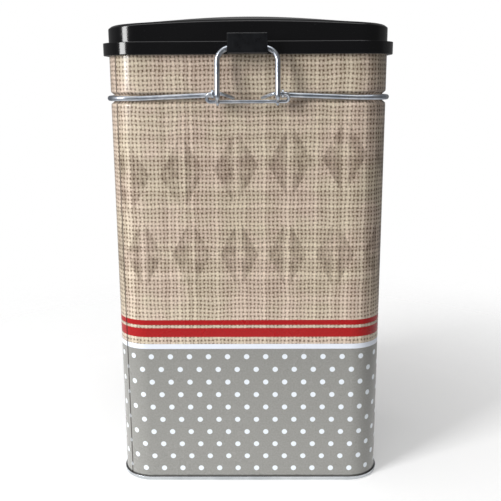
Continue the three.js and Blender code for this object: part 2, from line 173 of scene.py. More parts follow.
CENTRE_X = HALF_WIDTH - CORNER_RADIUS
CENTRE_Y = HALF_DEPTH - CORNER_RADIUS
QUARTER = CORNER_RADIUS * math.pi / 2
RUNS = [
    (QUARTER / 2, "arc", -CENTRE_X, -CENTRE_Y, 225),
    (2 * CENTRE_X, "line", -CENTRE_X, -HALF_DEPTH, 270),
    (QUARTER, "arc", CENTRE_X, -CENTRE_Y, 270),
    (2 * CENTRE_Y, "line", HALF_WIDTH, -CENTRE_Y, 0),
    (QUARTER, "arc", CENTRE_X, CENTRE_Y, 0),
    (2 * CENTRE_X, "line", CENTRE_X, HALF_DEPTH, 90),
    (QUARTER, "arc", -CENTRE_X, CENTRE_Y, 90),
    (2 * CENTRE_Y, "line", -HALF_WIDTH, CENTRE_Y, 180),
    (QUARTER / 2, "arc", -CENTRE_X, -CENTRE_Y, 180),
]
PERIMETER = sum(run[0] for run in RUNS)


def around(s):
    """Place and outward normal on the body's outline, s metres from its side seam."""
    for length, kind, x, y, degrees in RUNS:
        if s <= length + 1e-9:
            break
        s -= length
    angle = math.radians(degrees)
    if kind == "arc":
        angle += s / CORNER_RADIUS
        x += CORNER_RADIUS * math.cos(angle)
        y += CORNER_RADIUS * math.sin(angle)
    else:
        x -= s * math.sin(angle)
        y += s * math.cos(angle)
    return Vector((x, y + MIDDLE_Y)), Vector((math.cos(angle), math.sin(angle)))


def outline_stops(extra=()):
    """Distances round the outline: even steps on each run, and extra ones beside the seam."""
    stops = set(extra)
    start = 0
    for length, kind, *_ in RUNS:
        count = 14 if kind == "arc" else 16
        stops.update(round(start + length * step / count, 7) for step in range(count))
        start += length
    return sorted(stops)


def ring(offset, z, stops, relief=None):
    points = []
    for s in stops:
        place, normal = around(s)
        extra = relief(s) if relief else 0
        point = place + normal * (offset + extra)
        points.append(Vector((point.x, point.y, z)))
    return points


def scaled(points, share):
    """A ring drawn in towards the tin's middle line."""
    return [Vector((p.x * share, MIDDLE_Y + (p.y - MIDDLE_Y) * share, p.z)) for p in points]


def finish_mesh(name, mesh_data, materials, sharp=35):
    """Makes a shaded object of a bmesh."""
    bmesh.ops.recalc_face_normals(mesh_data, faces=mesh_data.faces)
    mesh = bpy.data.meshes.new(name)
    mesh_data.to_mesh(mesh)
    mesh_data.free()
    for polygon in mesh.polygons:
        polygon.use_smooth = True
    mesh.set_sharp_from_angle(angle=math.radians(sharp))
    for material in materials:
        mesh.materials.append(material)
    piece = bpy.data.objects.new(name, mesh)
    bpy.context.scene.collection.objects.link(piece)
    weighted = piece.modifiers.new("weighted_normals", "WEIGHTED_NORMAL")
    weighted.keep_sharp = True
    return piece


def skin(name, rings, stops, materials, closed=True, slots=None, sharp=35):
    """Skins rings that run round the tin. An open skin is closed at the middle at both ends."""
    data = bmesh.new()
    uv = data.loops.layers.uv.new("sheet")
    verts = [[data.verts.new(point) for point in one] for one in rings]
    count = len(stops)
    ends = [*stops[1:], PERIMETER]
    spans = len(rings) if closed else len(rings) - 1
    for r in range(spans):
        low = verts[r]
        high = verts[(r + 1) % len(rings)]
        for i in range(count):
            j = (i + 1) % count
            face = data.faces.new((low[i], low[j], high[j], high[i]))
            face.material_index = slots[r] if slots else 0
            for loop, s in zip(face.loops, (stops[i], ends[i], ends[i], stops[i])):
                loop[uv].uv = (s, loop.vert.co.z)
    if not closed:
        for one, sign in ((verts[0], 1), (verts[-1], -1)):
            height = sum(vert.co.z for vert in one) / count
            middle = data.verts.new((0, MIDDLE_Y, height))
            for i in range(count):
                face = data.faces.new((middle, one[(i + 1) % count], one[i])[::sign])
                face.material_index = (slots[0] if sign > 0 else slots[-1]) if slots else 0
                for loop in face.loops:
                    loop[uv].uv = (loop.vert.co.x + 0.5, loop.vert.co.y + 0.5)
    return finish_mesh(name, data, materials, sharp)


def wire_section(radius, length, flat_end):
    """Half width and half thickness of a wire, length metres from its end."""
    if flat_end:
        share = min(1, max(0, (length - TAPER_START) / TAPER_LENGTH))
        share = share * share * (3 - 2 * share)
        end_wide = EYE_OUTER * TAPER_WIDE
        end_thin = EYE_HALF * TAPER_THIN
        return end_wide + (radius - end_wide) * share, end_thin + (radius - end_thin) * share
    if length == 0:
        return radius * CUT_END, radius * CUT_END
    return radius, radius


def tube(data, path, radius, sides=20, flat_end=False):
    """Adds a wire that runs from its left end to the middle plane, and its mirror image."""
    uv = data.loops.layers.uv.get("wire") or data.loops.layers.uv.new("wire")
    normal = Vector((1, 0, 0))
    rings = []
    lengths = [0.0]
    for before, after in zip(path, path[1:]):
        lengths.append(lengths[-1] + (after - before).length)
    for index, point in enumerate(path):
        ahead = path[min(index + 1, len(path) - 1)]
        behind = path[max(index - 1, 0)]
        tangent = (ahead - behind).normalized()
        if index == len(path) - 1:
            tangent = Vector((1, 0, 0))
        normal = (normal - tangent * normal.dot(tangent)).normalized()
        other = tangent.cross(normal)
        wide, thin = wire_section(radius, lengths[index], flat_end)
        section = []
        for side in range(sides):
            turn = 2 * math.pi * side / sides
            reach = normal * math.cos(turn) * thin + other * math.sin(turn) * wide
            section.append(point + reach)
        rings.append(section)
    made = {}

    def vert(r, i, mirror):
        if mirror and r == len(rings) - 1:
            mirror = False
        key = (r, i, mirror)
        if key not in made:
            place = rings[r][i].copy()
            if mirror:
                place.x = -place.x
            made[key] = data.verts.new(place)
        return made[key]

    for mirror in (False, True):
        for r in range(len(rings) - 1):
            for i in range(sides):
                j = (i + 1) % sides
                corners = [(r, i), (r, j), (r + 1, j), (r + 1, i)]
                here, after = lengths[r], lengths[r + 1]
                wraps = [(here, i), (here, i + 1), (after, i + 1), (after, i)]
                face = data.faces.new([vert(*corner, mirror) for corner in corners])
                for loop, (length, turn) in zip(face.loops, wraps):
                    loop[uv].uv = (length, turn * radius * 2 * math.pi / sides)
        data.faces.new([vert(0, i, mirror) for i in range(sides)])


def revolve(data, outline, centre, axis, sides=32, closed=True):
    """Adds a turned shape from (radius, along) points round an axis, X or Y, through centre."""
    uv = data.loops.layers.uv.get("wire") or data.loops.layers.uv.new("wire")
    rows = []
    for side in range(sides):
        turn = 2 * math.pi * side / sides
        row = []
        for radius, along in outline:
            a = radius * math.cos(turn)
            b = radius * math.sin(turn)
            place = Vector((along, a, b)) if axis == "X" else Vector((a, along, b))
            row.append(data.verts.new(centre + place))
        rows.append(row)
    spans = len(outline) if closed else len(outline) - 1
    for side in range(sides):
        row, after = rows[side], rows[(side + 1) % sides]
        for k in range(spans):
            m = (k + 1) % len(outline)
            face = data.faces.new((row[k], row[m], after[m], after[k]))
            for loop in face.loops:
                loop[uv].uv = (loop.vert.co.y, loop.vert.co.z)
    if not closed:
        data.faces.new([row[0] for row in rows])
        data.faces.new([row[-1] for row in rows])


def eye_outline():
    """Section of a hammered eye: a flat ring with worn edges."""
    edge = 0.25 * MM
    return profile(
        (EYE_INNER, -EYE_HALF, edge),
        (EYE_OUTER, -EYE_HALF, edge),
        (EYE_OUTER, EYE_HALF, edge),
        (EYE_INNER, EYE_HALF, edge),
        steps=4,
    )


def plate(name, section, half_width, materials, bevel):
    """A moulded plate: a (y, z) section drawn out along X, with its edges rounded."""
    data = bmesh.new()
    left = [data.verts.new((-half_width, y, z)) for y, z in section]
    right = [data.verts.new((half_width, y, z)) for y, z in section]
    data.faces.new(left)
    data.faces.new(right[::-1])
    for i in range(len(section)):
        j = (i + 1) % len(section)
        data.faces.new((left[j], left[i], right[i], right[j]))
    ends = [edge for edge in data.edges if abs(edge.verts[0].co.x - edge.verts[1].co.x) < 1e-9]
    bmesh.ops.bevel(data, geom=ends, offset=bevel, segments=4, profile=0.5, affect="EDGES")
    return finish_mesh(name, data, materials)


# ---- material helpers -------------------------------------------------------------------------


class Graph:
    """A material's nodes, with a short call for each kind that this script uses."""

    def __init__(self, name):
        self.material = bpy.data.materials.new(name)
        self.material.use_nodes = True
        self.nodes = self.material.node_tree.nodes
        self.links = self.material.node_tree.links
        self.shader = self.nodes["Principled BSDF"]

    def put(self, socket, value):
        if isinstance(value, bpy.types.NodeSocket):
            self.links.new(value, socket)
        else:
            socket.default_value = value

    def set(self, **values):
        for name, value in values.items():
            self.put(self.shader.inputs[name.replace("_", " ")], value)

    def math(self, operation, *values):
        node = self.nodes.new("ShaderNodeMath")
        node.operation = operation
        for socket, value in zip(node.inputs, values):
            self.put(socket, value)
        return node.outputs[0]

    def total(self, first, *rest):
        for value in rest:
            first = self.math("ADD", first, value)
        return first

    def product(self, first, *rest):
        for value in rest:
            first = self.math("MULTIPLY", first, value)
        return first

    def ramp(self, value, low, high, to_low=0.0, to_high=1.0, smooth=True):
        node = self.nodes.new("ShaderNodeMapRange")
        node.interpolation_type = "SMOOTHSTEP" if smooth else "LINEAR"
        for socket, number in zip(node.inputs, (value, low, high, to_low, to_high)):
            self.put(socket, number)
        return node.outputs[0]

    def mix(self, factor, low, high, blend="MIX"):
        node = self.nodes.new("ShaderNodeMix")
        node.data_type = "RGBA"
        node.blend_type = blend
        self.put(node.inputs[0], factor)
        self.put(node.inputs[6], low)
        self.put(node.inputs[7], high)
        return node.outputs[2]

    def vector(self, x=0.0, y=0.0, z=0.0):
        node = self.nodes.new("ShaderNodeCombineXYZ")
        for socket, value in zip(node.inputs, (x, y, z)):
            self.put(socket, value)
        return node.outputs[0]

    def noise(self, where, scale, detail=2.0, roughness=0.5, colour=False):
        node = self.nodes.new("ShaderNodeTexNoise")
        self.put(node.inputs["Vector"], where)
        node.inputs["Scale"].default_value = scale
        node.inputs["Detail"].default_value = detail
        node.inputs["Roughness"].default_value = roughness
        return node.outputs["Color" if colour else "Fac"]

    def random(self, value):
        node = self.nodes.new("ShaderNodeTexWhiteNoise")
        node.noise_dimensions = "1D"
        self.put(node.inputs["W"], value)
        return node.outputs["Value"]

    def split(self, vector):
        node = self.nodes.new("ShaderNodeSeparateXYZ")
        self.put(node.inputs[0], vector)
        return node.outputs

    def object_place(self):
        return self.nodes.new("ShaderNodeTexCoord").outputs["Object"]

    def sheet(self, layer):
        """The mesh's own layout, in millimetres."""
        node = self.nodes.new("ShaderNodeUVMap")
        node.uv_map = layer
        parts = self.split(node.outputs[0])
        return self.math("MULTIPLY", parts[0], 1000.0), self.math("MULTIPLY", parts[1], 1000.0)

    def bump(self, height, distance, strength=1.0):
        node = self.nodes.new("ShaderNodeBump")
        node.inputs["Strength"].default_value = strength
        node.inputs["Distance"].default_value = distance
        self.put(node.inputs["Height"], height)
        self.put(self.shader.inputs["Normal"], node.outputs[0])


def colour(red, green, blue):
    """A display colour, 0 to 255, as scene-linear."""
    def linear(value):
        value /= 255
        return value / 12.92 if value <= 0.04045 else ((value + 0.055) / 1.055) ** 2.4

    return (linear(red), linear(green), linear(blue), 1.0)


# ---- printed tinplate -------------------------------------------------------------------------

THREAD_ACROSS = 1.55  # millimetres from thread to thread
THREAD_UP = 1.70
RED_BANDS = ((68.8, 70.9), (63.7, 67.5))
WHITE_BAND = (58.6, 60.7)
WEAVE_FOOT = 60.7
DOT_PITCH = 7.81
DOT_ROWS = 5.54
DOT_FIRST = 55.2
DOT_START = 3.29
DOT_RADIUS = 1.1
PRINT_BLUR = 0.07
FRONT_MIDDLE = 51.3  # millimetres from the seam


def woven_colour(g, u, v):
    """Printed sackcloth: a plain weave of uneven threads with dark gaps between them."""
    place = g.vector(u, v)
    drift = g.split(g.noise(place, 0.11, 2.0, colour=True))
    a = g.math("DIVIDE", g.total(u, g.product(drift[0], 1.5)), THREAD_ACROSS)
    b = g.math("DIVIDE", g.total(v, g.product(drift[1], 1.5)), THREAD_UP)
    across = g.math("ABSOLUTE", g.math("SUBTRACT", g.product(g.math("FRACT", a), 2.0), 1.0))
    up = g.math("ABSOLUTE", g.math("SUBTRACT", g.product(g.math("FRACT", b), 2.0), 1.0))
    warp_luck = g.random(g.math("FLOOR", a))
    weft_luck = g.random(g.total(g.math("FLOOR", b), 300.0))
    slub_warp = g.noise(g.vector(g.product(u, 0.55), g.product(v, 0.09)), 1.0, 2.0)
    slub_weft = g.noise(g.vector(g.product(u, 0.09), g.product(v, 0.5), 7.0), 1.0, 2.0)
    warp_width = g.total(0.50, g.product(slub_warp, 0.70), g.product(warp_luck, 0.16))
    weft_width = g.total(0.50, g.product(slub_weft, 0.70), g.product(weft_luck, 0.14))
    over = g.product(g.math("SINE", g.product(a, math.pi)), g.math("SINE", g.product(b, math.pi)))
    warp = g.math("SUBTRACT", 1.0, g.math("POWER", g.math("DIVIDE", across, warp_width), 2.0))
    weft = g.math("SUBTRACT", 1.0, g.math("POWER", g.math("DIVIDE", up, weft_width), 2.0))
    warp = g.total(warp, g.product(over, 0.30))
    weft = g.math("SUBTRACT", weft, g.product(over, 0.30))
    height = g.math("MAXIMUM", warp, weft)
    warp_wave = g.math("COSINE", g.product(a, math.pi))
    weft_wave = g.math("COSINE", g.product(b, math.pi))
    depth = g.ramp(g.product(warp_wave, weft_wave), -1.0, 1.0, 0.62, 1.0)
    gap = g.product(g.ramp(height, 0.92, 0.05, 0.0, 1.0), depth)
    fibre = g.noise(g.vector(g.product(u, 2.6), g.product(v, 1.6)), 1.0, 4.0, 0.6)
    light = g.total(
        g.ramp(height, 0.0, 1.25, 0.05, 0.72),
        g.product(g.math("SUBTRACT", fibre, 0.5), 1.1),
        g.product(g.math("SUBTRACT", warp_luck, 0.5), 0.24),
        g.product(g.math("SUBTRACT", weft_luck, 0.5), 0.18),
    )
    light = g.ramp(light, 0.0, 1.0, smooth=False)
    thread = g.mix(light, colour(120, 101, 85), colour(240, 228, 213))
    tint = g.noise(g.vector(u, v, 3.0), 0.045, 3.0, 0.7)
    tone = g.mix(g.ramp(tint, 0.38, 0.62), colour(250, 242, 238), colour(246, 244, 234))
    thread = g.mix(1.0, thread, tone, "MULTIPLY")
    return g.mix(g.product(gap, 0.86), thread, colour(92, 73, 60))


def faded_marks(g, u, v):
    """Two rows of worn stencilled lozenges, the upper row slanting a little."""
    total = None
    for tilt, centre_v, pitch, half_wide, half_high, shift in (
        (0.10, 133.0, 21.0, 8.6, 15.0, 6.0),
        (0.0, 98.0, 19.0, 7.6, 14.5, 0.0),
    ):
        slide = g.total(u, shift)
        slope = g.product(g.math("SUBTRACT", u, FRONT_MIDDLE), tilt)
        rise = g.math("SUBTRACT", v, g.total(centre_v, slope))
        cell = g.math("SUBTRACT", g.math("FRACT", g.math("DIVIDE", slide, pitch)), 0.5)
        across = g.math("ABSOLUTE", g.product(cell, pitch))
        reach = g.total(
            g.math("DIVIDE", across, half_wide),
            g.math("DIVIDE", g.math("ABSOLUTE", rise), half_high),
        )
        solid = g.product(g.ramp(reach, 1.06, 0.96), g.ramp(across, 0.9, 1.5))
        total = solid if total is None else g.math("MAXIMUM", total, solid)
    worn = g.ramp(g.noise(g.vector(u, v, 11.0), 0.22, 3.0), 0.30, 0.62, 0.35, 1.0)
    streaks = g.noise(g.vector(g.product(u, 1.2), g.product(v, 0.25)), 1.0, 2.0)
    return g.product(total, worn, g.ramp(streaks, 0.3, 0.7, 0.55, 1.0))


def band(g, v, low, high):
    return g.product(g.math("GREATER_THAN", v, low), g.math("LESS_THAN", v, high))


def dots(g, u, v):
    rows = g.math("DIVIDE", g.math("SUBTRACT", DOT_FIRST, v), DOT_ROWS)
    row = g.math("ROUND", rows)
    odd = g.math("PINGPONG", row, 1.0)
    columns = g.math("DIVIDE", g.math("SUBTRACT", u, DOT_START), DOT_PITCH)
    columns = g.math("SUBTRACT", columns, g.product(odd, 0.5))
    side = g.product(g.math("SUBTRACT", columns, g.math("ROUND", columns)), DOT_PITCH)
    rise = g.product(g.math("SUBTRACT", rows, row), DOT_ROWS)
    reach = g.math("SQRT", g.total(g.math("POWER", side, 2.0), g.math("POWER", rise, 2.0)))
    return g.ramp(reach, DOT_RADIUS + PRINT_BLUR, DOT_RADIUS - PRINT_BLUR)


def printed_tinplate():
    g = Graph("printed_tinplate")
    u, v = g.sheet("sheet")
    cloth = woven_colour(g, u, v)
    marks = faded_marks(g, u, v)
    stained = g.mix(1.0, cloth, colour(148, 138, 130), "MULTIPLY")
    cloth = g.mix(g.product(marks, 0.62), cloth, stained)
    ink = g.noise(g.vector(u, v, 5.0), 1.4, 3.0)
    grey = g.mix(g.ramp(ink, 0.25, 0.75), colour(135, 134, 130), colour(145, 145, 141))
    field = g.mix(dots(g, u, v), grey, colour(226, 232, 239))
    printed = g.mix(g.math("GREATER_THAN", v, WEAVE_FOOT), field, cloth)
    printed = g.mix(band(g, v, *WHITE_BAND), printed, colour(226, 231, 241))
    red = g.mix(g.ramp(ink, 0.25, 0.75), colour(158, 3, 9), colour(172, 5, 12))
    for low, high in RED_BANDS:
        printed = g.mix(band(g, v, low, high), printed, red)
    from_seam = g.math("MINIMUM", u, g.math("SUBTRACT", PERIMETER / MM, u))
    seam = g.ramp(from_seam, 0.42, 0.12, 0.0, 0.8)
    printed = g.mix(seam, printed, colour(58, 50, 46))
    # This noise gives a ragged edge to both the worn bare mouth and the painted shade line above the
    # base lip.
    rub = g.noise(g.object_place(), 420.0, 3.0)
    # Painted shade: a dark line on the print just above the base lip's top edge, standing for the
    # shade in the crevice between the body and the lip.
    lip_crevice_shade = g.ramp(g.math("SUBTRACT", v, g.product(rub, 0.5)), 2.1, 1.8, 0.0, 0.75)
    printed = g.mix(lip_crevice_shade, printed, colour(52, 50, 48))
    foot = g.ramp(v, 1.2, 0.9)
    mouth = g.ramp(g.math("SUBTRACT", v, g.product(rub, 0.5)), 175.95, 176.2, 0.0, 0.8)
    bare = g.math("MAXIMUM", foot, mouth)
    g.set(Base_Color=g.mix(bare, printed, colour(196, 200, 204)), Metallic=g.product(bare, 0.9))
    smear = g.noise(g.object_place(), 35.0, 4.0, 0.6)
    g.set(Roughness=g.ramp(smear, 0.3, 0.7, 0.22, 0.36), Specular_IOR_Level=0.35)
    g.set(Coat_Weight=0.35, Coat_Roughness=0.07)
    dents = g.noise(g.object_place(), 60.0, 2.0)
    peel = g.noise(g.object_place(), 900.0, 2.0)
    g.bump(g.total(dents, g.product(peel, 0.05)), 0.0001, 0.35)
    return g.material


# ---- metal, plastic and rubber ----------------------------------------------------------------


def bright_tinplate():
    g = Graph("bright_tinplate")
    place = g.object_place()
    x, y, z = g.split(place)
    stretched = g.vector(g.product(x, 40.0), g.product(y, 40.0), g.product(z, 2500.0))
    streak = g.noise(stretched, 1.0, 3.0)
    cloud = g.noise(place, 70.0, 3.0, 0.6)
    tone = g.mix(g.ramp(cloud, 0.3, 0.7), colour(180, 184, 188), colour(206, 209, 212))
    g.set(Base_Color=tone, Metallic=1.0)
    g.set(Roughness=g.total(0.14, g.product(streak, 0.10), g.product(cloud, 0.08)))
    g.bump(streak, 0.00002, 0.4)
    return g.material


def zinc_wire():
    g = Graph("zinc_wire")
    along, wrap = g.sheet("wire")
    draw = g.noise(g.vector(g.product(along, 0.35), g.product(wrap, 9.0)), 1.0, 3.0)
    cloud = g.noise(g.object_place(), 260.0, 3.0, 0.6)
    dull = g.noise(g.object_place(), 900.0, 2.0)
    tone = g.mix(g.ramp(cloud, 0.3, 0.7), colour(168, 176, 188), colour(206, 211, 218))
    tone = g.mix(g.ramp(dull, 0.62, 0.75, 0.0, 0.35), tone, colour(120, 126, 132))
    g.set(Base_Color=tone, Metallic=1.0)
    g.set(Roughness=g.total(0.24, g.product(draw, 0.12), g.product(cloud, 0.10)))
    g.bump(g.total(draw, g.product(dull, 0.4)), 0.00003, 0.5)
    return g.material


def black_gloss():
    g = Graph("black_gloss_plastic")
    place = g.object_place()
    x, y, z = g.split(place)
    smear = g.noise(place, 28.0, 4.0, 0.6)
    stretched = g.vector(g.product(x, 12.0), g.product(y, 12.0), g.product(z, 700.0))
    flow = g.noise(stretched, 1.0, 2.0)
    specks = g.ramp(g.noise(place, 1500.0, 1.0), 0.74, 0.80, 0.0, 0.25)
    g.set(Base_Color=g.mix(specks, colour(10, 10, 12), colour(60, 60, 62)))
    g.set(Roughness=g.ramp(smear, 0.3, 0.7, 0.10, 0.22), IOR=1.49)
    g.bump(g.total(g.product(flow, 0.5), g.noise(place, 90.0, 2.0)), 0.00006, 0.35)
    return g.material


def black_satin():
    """Handled plastic: softer than the lid, with fine upright rub marks."""
    g = Graph("black_matte_plastic")
    place = g.object_place()
    x, y, z = g.split(place)
    stretched = g.vector(g.product(x, 1500.0), g.product(y, 200.0), g.product(z, 120.0))
    rub = g.noise(stretched, 1.0, 3.0)
    cloud = g.noise(place, 240.0, 3.0, 0.6)
    grain = g.noise(place, 5200.0, 2.0)
    tone = g.mix(g.ramp(cloud, 0.3, 0.7), colour(5, 6, 9), colour(10, 12, 16))
    tone = g.mix(g.ramp(rub, 0.60, 0.78, 0.0, 0.45), tone, colour(48, 51, 57))
    g.set(Base_Color=tone, Roughness=g.ramp(cloud, 0.3, 0.7, 0.24, 0.36))
    g.bump(g.total(g.product(grain, 0.5), g.product(rub, 0.6)), 0.00004, 0.5)
    return g.material


def soft_seal():
    g = Graph("sealing_rubber")
    place = g.object_place()
    cloud = g.noise(place, 120.0, 3.0)
    g.set(Base_Color=g.mix(cloud, colour(214, 214, 206), colour(232, 232, 226)), Roughness=0.42)
    g.set(Subsurface_Weight=0.25, Subsurface_Radius=(0.002, 0.002, 0.0018), Subsurface_Scale=1.0)
    g.bump(g.noise(place, 2600.0, 2.0), 0.00003, 0.4)
    return g.material


PRINT = printed_tinplate()
STEEL = bright_tinplate()
ZINC = zinc_wire()
GLOSS = black_gloss()
SATIN = black_satin()
SEAL = soft_seal()


# ---- tin --------------------------------------------------------------------------------------

SEAM_CHANNEL = 0.28 * MM  # half width and depth of the channel outside
SEAM_SHOULDER = 0.14 * MM
SEAM_RIB = 0.5 * MM  # height of the folded layers inside
SEAM_HALF_WIDTH = 1.5 * MM
SEAM_SLOPE = 0.6 * MM
SEAM_STOPS = [offset * MM for offset in (0.0, 0.12, 0.28, 0.5, 0.9, 1.5)]
BODY_STOPS = outline_stops(SEAM_STOPS + [PERIMETER - s for s in SEAM_STOPS[1:]])
PLAIN_STOPS = outline_stops([0.0])


def groove(offset):
    edge = 0.8 * MM
    return (
        (offset, GROOVE_Z - GROOVE_HALF_MOUTH, edge),
        (offset - GROOVE_DEPTH, GROOVE_Z - GROOVE_HALF_FLOOR, edge),
        (offset - GROOVE_DEPTH, GROOVE_Z + GROOVE_HALF_FLOOR, edge),
        (offset, GROOVE_Z + GROOVE_HALF_MOUTH, edge),
    )


def seam_outside(s):
    """The lock seam from outside: a narrow channel, with a soft shoulder on its left."""
    away = min(s, PERIMETER - s)
    left = s > PERIMETER / 2
    channel = -SEAM_CHANNEL * max(0, 1 - (away / SEAM_CHANNEL) ** 2)
    shoulder = SEAM_SHOULDER * max(0, 1 - away / SEAM_HALF_WIDTH) if left else 0
    return channel + shoulder


def seam_inside(s):
    """From inside: the folded layers stand out as a flat rib."""
    away = min(s, PERIMETER - s)
    share = min(1, max(0, (SEAM_HALF_WIDTH - away) / SEAM_SLOPE))
    return -SEAM_RIB * share


def body():
    outside = profile(
        (FOOT_FLARE, FOOT_START),
        (FOOT_FLARE, BASE_LIP, 1 * MM),
        (0, FOOT_HEIGHT, 4 * MM),
        (0, FOOT_HEIGHT + 24 * MM),
        (0, FOOT_HEIGHT + 60 * MM),
        (0, GROOVE_Z - 40 * MM),
        (0, GROOVE_Z - 8 * MM),
        *groove(0),
        (0, RIM_Z - 8 * MM),
        (0, RIM_Z, 0.4 * MM),
        (-HEM_WIDTH, RIM_Z, 0.4 * MM),
        (-HEM_WIDTH, RIM_Z - HEM_HEIGHT, 0.1 * MM),
        closed=False,
    )
    inside = profile(
        (-TINPLATE - 0.1 * MM, RIM_Z - HEM_HEIGHT),
        *reversed(groove(-TINPLATE)),
        (-TINPLATE, GROOVE_Z - 40 * MM),
        (-TINPLATE, FOOT_HEIGHT + 60 * MM),
        (-TINPLATE, FOOT_HEIGHT, 4 * MM),
        (FOOT_FLARE - TINPLATE, BASE_LIP, 1 * MM),
        (FOOT_FLARE - TINPLATE, FOOT_START),
        closed=False,
    )
    rings = [ring(offset, z, BODY_STOPS, seam_outside) for offset, z in outside]
    rings += [ring(offset, z, BODY_STOPS, seam_inside) for offset, z in inside]
    slots = [0] * (len(outside) - 1) + [1] * (len(inside) + 1)
    piece = skin("tin_body", rings, BODY_STOPS, [PRINT, STEEL], slots=slots)
    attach(piece, "tin")
    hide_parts("body_shell")


def base_panel():
    """The pressed bottom: a rolled rim to stand on and a panel with a shallow pressed bead."""
    wall_out = -TINPLATE - REST_GAP
    wall_in = wall_out - TINPLATE
    lip_in = FOOT_FLARE + REST_GAP
    lip_out = lip_in + TINPLATE
    under = profile(
        (-20 * MM, PANEL_RISE + PANEL_BEAD),
        (-17 * MM, PANEL_RISE + PANEL_BEAD, 1.5 * MM),
        (-15 * MM, PANEL_RISE, 1.5 * MM),
        (wall_in, PANEL_RISE, 0.4 * MM),
        (wall_in, 0, 0.3 * MM),
        (lip_out, 0, 0.5 * MM),
        (lip_out, BASE_LIP - REST_GAP, 0.12 * MM),
        (lip_in, BASE_LIP - REST_GAP, 0.12 * MM),
        (lip_in, TINPLATE),
        (wall_out, TINPLATE),
        (wall_out, PANEL_RISE + TINPLATE, 0.5 * MM),
        (-15 * MM, PANEL_RISE + TINPLATE, 1.5 * MM),
        (-17 * MM, PANEL_RISE + PANEL_BEAD + TINPLATE, 1.5 * MM),
        (-20 * MM, PANEL_RISE + PANEL_BEAD + TINPLATE),
        closed=False,
    )
    rings = [ring(offset, z, PLAIN_STOPS) for offset, z in under]
    piece = skin("base_panel", rings, PLAIN_STOPS, [STEEL], closed=False)
    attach(piece, "tin")
    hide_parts("bottom_panel")


# ---- wires ------------------------------------------------------------------------------------


def wire_piece(name, path, radius, body_name, node, eye_at=None):
    data = bmesh.new()
    tube(data, path, radius, flat_end=eye_at is not None)
    if eye_at is not None:
        for side in (-1, 1):
            centre = Vector((side * eye_at.x, eye_at.y, eye_at.z))
            revolve(data, eye_outline(), centre, "X")
    piece = finish_mesh(name, data, [ZINC], sharp=40)
    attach(piece, body_name)
    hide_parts(node)
    return piece


def even(points, step=0.6 * MM):
    """Adds points on long straight stretches, so that a taper has room to show."""
    filled = [points[0]]
    for before, after in zip(points, points[1:]):
        count = max(1, min(12, int((after - before).length / step)))
        filled += [before.lerp(after, (k + 1) / count) for k in range(count)]
    return filled


def neck_band():
    offset = REST_GAP + WIRE - GROOVE_DEPTH
    half_wide = HALF_WIDTH + offset
    front = FRONT_Y - offset
    back = BACK_Y + offset
    radius = CORNER_RADIUS + offset
    tail_y = LEVER_PIVOT.y + 2 * EYE_OUTER
    tail_z = LEVER_PIVOT.z - BAND_TAIL_DROP
    shoulder_z = tail_z - BAND_SHOULDER_DROP
    start = LEVER_PIVOT.lerp(Vector((0, tail_y, tail_z)), 0.36)
    path = rounded(
        [
            (-EYE_SPAN, start.y, start.z),
            (-EYE_SPAN, tail_y + EYE_HALF, tail_z, 1.3 * MM),
            (-EYE_SPAN - BAND_EASE, tail_y + 2 * EYE_HALF, shoulder_z, 2.5 * MM),
            (-half_wide + radius, front, GROOVE_Z, 6 * MM),
            (-half_wide, front, GROOVE_Z, radius - BAND_EASE),
            (-half_wide, back, GROOVE_Z, radius),
            (0, back, GROOVE_Z),
        ],
        steps=14,
        closed=False,
    )
    eye = Vector((EYE_SPAN, LEVER_PIVOT.y, LEVER_PIVOT.z))
    wire_piece("neck_band", even(path), WIRE, "tin", "neck_wire", eye_at=eye)


def lever():
    turn_x = EYE_SPAN + EYE_HALF + REST_GAP
    out_x = turn_x + (LEVER_PIVOT.z - BAIL_PIVOT.z) / 2
    stub_x = BAIL_SPAN - WIRE - THIN_WIRE
    stub_y = FRONT_Y - REST_GAP - THIN_WIRE
    path = rounded(
        [
            (-STUB_SPAN, stub_y, BAIL_PIVOT.z + LEVER_BEND),
            (-stub_x, LEVER_PIVOT.y, LEVER_PIVOT.z, LEVER_BEND),
            (-out_x, LEVER_PIVOT.y, LEVER_PIVOT.z, LEVER_BEND),
            (-out_x, BAIL_PIVOT.y, BAIL_PIVOT.z, LEVER_BEND),
            (0, BAIL_PIVOT.y, BAIL_PIVOT.z),
        ],
        steps=10,
        closed=False,
    )
    wire_piece("clasp_lever", even(path), THIN_WIRE, "lever", "lever_wire")


def bail():
    clear = WIRE + THIN_WIRE + REST_GAP
    knee = Vector((0, LEVER_PIVOT.y - clear - KNEE_ROOM, LEVER_PIVOT.z - KNEE_DROP))
    pivot = Vector((0, BAIL_PIVOT.y, BAIL_PIVOT.z))
    start = pivot.lerp(knee, 0.3)
    path = rounded(
        [
            (-BAIL_SPAN, start.y, start.z),
            (-BAIL_SPAN, knee.y, knee.z, 1.4 * MM),
            (-BAIL_SPAN, BAIL_BAR_Y, BAIL_TOP, BAIL_CORNER),
            (0, BAIL_BAR_Y, BAIL_TOP),
        ],
        steps=14,
        closed=False,
    )
    eye = Vector((BAIL_SPAN, BAIL_PIVOT.y, BAIL_PIVOT.z))
    wire_piece("clasp_bail", even(path), WIRE, "bail", "bail_wire", eye_at=eye)


